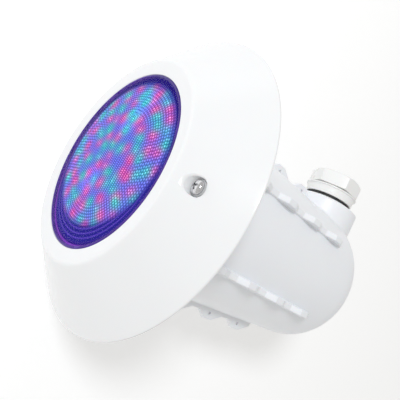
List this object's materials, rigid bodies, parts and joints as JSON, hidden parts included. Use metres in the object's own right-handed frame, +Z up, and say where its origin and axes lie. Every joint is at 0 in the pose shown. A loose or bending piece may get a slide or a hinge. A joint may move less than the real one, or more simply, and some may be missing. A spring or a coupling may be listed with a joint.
{
  "type": "underwater pool light",
  "caption": "Round flush pool light: conical face ring, domed blue lens and sealed lamp, in a ribbed wall niche with a sideways cable gland.",
  "frame": {"origin": "centre of the face ring's back plane, which lies on the finished pool wall", "axes": "+Y into the wall along the light's axis, -Y towards the pool, +Z up to the face screw, the cable outlet leaves towards -X"},
  "size_m": [0.287, 0.3196, 0.287],
  "materials": {
    "ring_white": "glossy white moulded plastic",
    "niche_white": "satin white moulded plastic",
    "lens_blue": "clear blue lens, prismatic inside",
    "seal_black": "black rubber",
    "seal_grey": "grey silicone rubber",
    "stainless": "polished stainless steel",
    "brass": "turned brass",
    "aluminium": "plain aluminium",
    "board_white": "white lacquered circuit board",
    "board_green": "green lacquered circuit board"
  },
  "bodies": {
    "niche": {"niche_body": "niche_white", "face_screw_insert": "brass", "outlet_o_ring": "seal_black", "outlet_adapter": "niche_white", "outlet_seal": "seal_black"},
    "light": {"face_ring": "ring_white", "lens": "lens_blue", "lens_gasket": "seal_grey", "lamp_housing": "ring_white", "lamp_clamp_ring": "stainless", "clamp_screw_1": "stainless", "clamp_screw_2": "stainless", "clamp_screw_3": "stainless", "clamp_screw_4": "stainless", "clamp_screw_5": "stainless", "clamp_screw_6": "stainless", "led_board": "board_white", "heat_spreader": "aluminium", "board_screw_1": "stainless", "board_screw_2": "stainless", "board_screw_3": "stainless", "driver_board": "board_green", "driver_screw_1": "stainless", "driver_screw_2": "stainless", "lamp_gland_body": "ring_white", "lamp_gland_o_ring": "seal_black", "lamp_gland_locknut": "ring_white", "lamp_gland_seal": "seal_black"},
    "face_screw_turning": {"face_screw": "stainless"},
    "face_washer_sliding": {"face_screw_washer": "seal_grey"},
    "lamp_gland_nut_turning": {"lamp_gland_nut": "ring_white"},
    "lamp_gland_washer_sliding": {"lamp_gland_washer": "stainless"},
    "outlet_nut_turning": {"outlet_cap_nut": "niche_white"},
    "outlet_washer_sliding": {"outlet_washer": "stainless"}
  },
  "joints": [
    {"name": "light_pull_out", "type": "slide", "parent": "niche", "child": "light", "axis": [0, -1, 0], "range_m": [0, 0.15]},
    {"name": "face_screw_travel", "type": "slide", "parent": "light", "child": "face_washer_sliding", "axis": [0, -1, 0], "range_m": [0, 0.012]},
    {"name": "face_screw_turn", "type": "hinge", "parent": "face_washer_sliding", "child": "face_screw_turning", "pos_m": [0, -0.027, 0.11], "axis": [0, -1, 0], "range_deg": [0, 4321]},
    {"name": "lamp_gland_travel", "type": "slide", "parent": "light", "child": "lamp_gland_washer_sliding", "axis": [0, 1, 0], "range_m": [0, 0.01]},
    {"name": "lamp_gland_nut_turn", "type": "hinge", "parent": "lamp_gland_washer_sliding", "child": "lamp_gland_nut_turning", "pos_m": [0, 0.02, 0], "axis": [0, 1, 0], "range_deg": [0, 2380]},
    {"name": "outlet_washer_travel", "type": "slide", "parent": "niche", "child": "outlet_washer_sliding", "axis": [-1, 0, 0], "range_m": [0, 0.012]},
    {"name": "outlet_nut_turn", "type": "hinge", "parent": "outlet_washer_sliding", "child": "outlet_nut_turning", "pos_m": [-0.115, 0.2356, 0], "axis": [-1, 0, 0], "range_deg": [0, 2150]}
  ],
  "couplings": [
    {"joint": "face_screw_turn", "follows": "face_screw_travel", "rad_per_m": 6283.2},
    {"joint": "lamp_gland_travel", "follows": "lamp_gland_nut_turn", "m_per_rad": 0.00023873},
    {"joint": "outlet_washer_travel", "follows": "outlet_nut_turn", "m_per_rad": 0.00031831}
  ]
}
